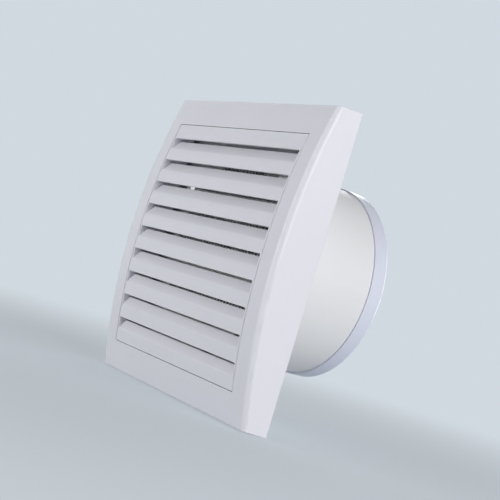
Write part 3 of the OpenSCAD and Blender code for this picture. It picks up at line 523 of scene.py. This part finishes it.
pvc_blue = moulded_plastic("pvc_extruded_blue", "#2F5FA8", "#2A5699", 0.3, 1.5, 0.003)
dress("motor_leads", pvc_blue)


# ---- Insect screen ----
# A moulded polypropylene grid on a rim that snaps over the spigot's mouth. Its bars
# stand 3 mm apart, and its natural colour is a pale greyish white.

SCREEN_PITCH = 0.0030
SCREEN_BAR = 0.0008
SCREEN_OPEN_R = 0.0470
SCREEN_RIM_R = 0.0514
SCREEN_SKIRT_IN_R = 0.0502
SCREEN_FRONT_Y, SCREEN_BACK_Y, SCREEN_SKIRT_Y = -0.0070, -0.0060, -0.0046
SCREEN_SEAT_OVERLAP = 0.0001
SAME_PLACE = 0.000005
NOTCH_AT, NOTCH_HALF = math.radians(45), math.radians(4.6)
ROUND_STEPS = 96


def clipped(points, radius, sides=48):
    """A polygon cut to the inside of a circle."""
    reach = radius * math.cos(math.pi / sides)
    for k in range(sides):
        a = 2 * math.pi * (k + 0.5) / sides
        n = Vector((math.cos(a), math.sin(a)))
        kept = []
        for i, p in enumerate(points):
            q = points[(i + 1) % len(points)]
            dp, dq = p.dot(n) - reach, q.dot(n) - reach
            if dp <= 0:
                kept.append(p)
            if dp * dq < 0:
                kept.append(p.lerp(q, dp / (dp - dq)))
        points = kept
        if len(points) < 3:
            return []
    return points


def screen_grid():
    """The round plate with its square holes, as one closed mesh facing the room."""
    curve = bpy.data.curves.new("screen", "CURVE")
    curve.dimensions = "2D"
    curve.fill_mode = "BOTH"
    curve.extrude = (SCREEN_BACK_Y - SCREEN_FRONT_Y) / 2
    half = (SCREEN_PITCH - SCREEN_BAR) / 2
    outlines = [[Vector((math.cos(a), math.sin(a))) * SCREEN_RIM_R
                 for a in (2 * math.pi * i / ROUND_STEPS for i in range(ROUND_STEPS))]]
    count = math.ceil(SCREEN_OPEN_R / SCREEN_PITCH)
    corners = [Vector(c) * half for c in ((-1, -1), (1, -1), (1, 1), (-1, 1))]
    for i in range(-count, count + 1):
        for j in range(-count, count + 1):
            middle = Vector((i, j)) * SCREEN_PITCH
            hole = clipped([middle + c for c in corners], SCREEN_OPEN_R)
            wide = [max(p[k] for p in hole) - min(p[k] for p in hole) for k in (0, 1) if hole]
            if min(wide, default=0) > half / 2:
                outlines.append(hole)
    for outline in outlines:
        spline = curve.splines.new("POLY")
        spline.points.add(len(outline) - 1)
        spline.use_cyclic_u = True
        for point, co in zip(spline.points, outline):
            point.co = (co.x, co.y, 0, 1)
    flat = bpy.data.objects.new("screen", curve)
    bpy.context.scene.collection.objects.link(flat)
    bpy.context.view_layer.update()
    mesh = evaluated_mesh(flat)
    bpy.data.objects.remove(flat)
    mesh.transform(Matrix.Translation((0, (SCREEN_FRONT_Y + SCREEN_BACK_Y) / 2, 0))
                   @ Matrix.Rotation(math.pi / 2, 4, "X"))
    return mesh


def insect_screen():
    """The grid with its skirt, which leaves a gap for the two motor leads."""
    shape = bmesh.new()
    shape.from_mesh(screen_grid())
    rings = []
    seat = SCREEN_BACK_Y - SCREEN_SEAT_OVERLAP
    for i in range(ROUND_STEPS + 1):
        a = NOTCH_AT + NOTCH_HALF + (2 * math.pi - 2 * NOTCH_HALF) * i / ROUND_STEPS
        rings.append([shape.verts.new((r * math.cos(a), y, r * math.sin(a))) for r, y in (
            (SCREEN_SKIRT_IN_R, seat), (SCREEN_RIM_R, seat),
            (SCREEN_RIM_R, SCREEN_SKIRT_Y), (SCREEN_SKIRT_IN_R, SCREEN_SKIRT_Y))])
    for a, b in zip(rings, rings[1:]):
        for k in range(4):
            shape.faces.new((a[k], a[(k + 1) % 4], b[(k + 1) % 4], b[k]))
    shape.faces.new(rings[0])
    shape.faces.new(reversed(rings[-1]))
    bmesh.ops.remove_doubles(shape, verts=shape.verts, dist=SAME_PLACE)
    bmesh.ops.recalc_face_normals(shape, faces=shape.faces)
    mesh = bpy.data.meshes.new("insect_screen_mesh")
    shape.to_mesh(mesh)
    shape.free()
    return mesh


polypropylene = moulded_plastic(
    "polypropylene_moulded", "#DCDCD6", "#D2D2CB", 0.45, 0.8, 0.008, ior=1.49)
screen = new_object("insect_screen_grid", insect_screen(), [polypropylene])
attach(screen, "fan_body")
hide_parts("insect_screen")


# ---- Front frame ----
# The square bowed cover, moulded in white ABS that is polished to a fine satin. It
# slides over the wall plate and hides the wall screws.

abs_white = moulded_plastic("abs_moulded_white", "#EDECF2", "#E8E7EE", 0.4, 1.2, 0.005)
dress("front_frame", abs_white)


# ---- Frame screws ----
# Four countersunk self-tapping screws, driven from the back of the wall plate into the
# frame's bosses. Zinc-plated, with a cross recess and a coarse thread.

SCREW_HEAD_R, SCREW_R, SCREW_ROOT_R = 0.0027, 0.00145, 0.00112
SCREW_HEAD_T = 0.00125
SCREW_LENGTH = 0.0095
SCREW_POINT, SCREW_TIP_R = 0.0012, 0.0003
SCREW_NECK = 0.0003
THREAD_PITCH = 0.0011
THREAD_HALF_WIDTH = 0.28  # share of the pitch
THREAD_STEPS = 8
SCREW_SIDES = 24
RECESS_ARM, RECESS_W, RECESS_DEPTH = 0.0014, 0.00055, 0.0010
RECESS_TAPER = 0.45
CUT_PAST = 0.0002


def self_tapper():
    """A countersunk screw along -Y with its head at the origin."""
    shape = bmesh.new()
    rows = [(0.0, SCREW_HEAD_R), (-SCREW_HEAD_T, SCREW_R)]
    thread_from, thread_to = -SCREW_HEAD_T - SCREW_NECK, -SCREW_LENGTH + SCREW_POINT
    count = int((thread_from - thread_to) / THREAD_PITCH * THREAD_STEPS)
    rows += [(thread_from + (thread_to - thread_from) * i / count, None) for i in range(count + 1)]
    rows += [(-SCREW_LENGTH, SCREW_TIP_R)]
    loops = []
    for y, radius in rows:
        loop = []
        for k in range(SCREW_SIDES):
            a = 2 * math.pi * k / SCREW_SIDES
            r = radius
            if r is None:
                phase = (y / THREAD_PITCH + k / SCREW_SIDES) % 1
                crest = max(0.0, 1 - abs(phase - 0.5) / THREAD_HALF_WIDTH)
                r = SCREW_ROOT_R + (SCREW_R - SCREW_ROOT_R) * crest
            loop.append(shape.verts.new((r * math.cos(a), y, r * math.sin(a))))
        loops.append(loop)
    for a, b in zip(loops, loops[1:]):
        for k in range(SCREW_SIDES):
            n = (k + 1) % SCREW_SIDES
            shape.faces.new((a[k], a[n], b[n], b[k]))
    shape.faces.new(loops[0])
    shape.faces.new(reversed(loops[-1]))
    bmesh.ops.recalc_face_normals(shape, faces=shape.faces)
    mesh = bpy.data.meshes.new("self_tapper")
    shape.to_mesh(mesh)
    shape.free()
    return mesh


def cross_recess():
    """The tapered cross that the driver fits, to be cut from a screw's head."""
    shape = bmesh.new()
    outline = [(1, 1), (1, 3), (-1, 3), (-1, 1), (-3, 1), (-3, -1), (-1, -1), (-1, -3), (1, -3),
               (1, -1), (3, -1), (3, 1)]
    loops = []
    for y, shrink in ((CUT_PAST, 1.0), (-RECESS_DEPTH, RECESS_TAPER)):
        loops.append([shape.verts.new((
            math.copysign(RECESS_W / 2 if abs(x) == 1 else RECESS_ARM * shrink, x), y,
            math.copysign(RECESS_W / 2 if abs(z) == 1 else RECESS_ARM * shrink, z)))
            for x, z in outline])
    n = len(outline)
    for k in range(n):
        shape.faces.new((loops[0][k], loops[0][(k + 1) % n], loops[1][(k + 1) % n], loops[1][k]))
    shape.faces.new(loops[0])
    shape.faces.new(reversed(loops[1]))
    bmesh.ops.recalc_face_normals(shape, faces=shape.faces)
    mesh = bpy.data.meshes.new("cross_recess")
    shape.to_mesh(mesh)
    shape.free()
    return mesh


def recessed_screw_mesh():
    """The screw with its recess cut in, as a plain mesh."""
    body = new_object("screw_blank", self_tapper(), [])
    cutter = new_object("screw_cutter", cross_recess(), [])
    cut = body.modifiers.new("recess", "BOOLEAN")
    cut.object = cutter
    cut.operation = "DIFFERENCE"
    cut.solver = "EXACT"
    bpy.context.view_layer.update()
    mesh = evaluated_mesh(body)
    for obj in (body, cutter):
        bpy.data.objects.remove(obj)
    return mesh


screw_mesh = recessed_screw_mesh()
screws_low, screws_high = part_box("frame_screws")
screw_columns = ((screws_low.x + SCREW_HEAD_R, "left"), (screws_high.x - SCREW_HEAD_R, "right"))
screw_rows = ((screws_low.z + SCREW_HEAD_R, "lower"), (screws_high.z - SCREW_HEAD_R, "upper"))
for x, left_right in screw_columns:
    for z, up_down in screw_rows:
        screw = new_object(f"frame_screw_{up_down}_{left_right}", screw_mesh.copy(), [zinc_plated])
        screw.data.transform(Matrix.Translation((x, screws_high.y, z)))
        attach(screw, "fan_body")
        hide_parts("frame_screws")


# ---- Backdraft shutter ----
# An end ring plugged into the spigot, with two light flaps on one steel pin. The ring
# and flaps are moulded in a cooler, bluer white than the housing.

abs_cool_white = moulded_plastic("abs_moulded_cool_white", "#E4E7F5", "#DEE1F0", 0.3, 1.2, 0.004)
dress("backdraft_ring", abs_cool_white)
dress("right_flap", abs_cool_white)
dress("left_flap", abs_cool_white)
dress("flap_pin", ground_steel)


# ---- Louvre panel ----
# A separate moulding of nine curved louvres that clips into the frame's window. Same
# white satin ABS as the frame.

dress("louvre_panel", abs_white)
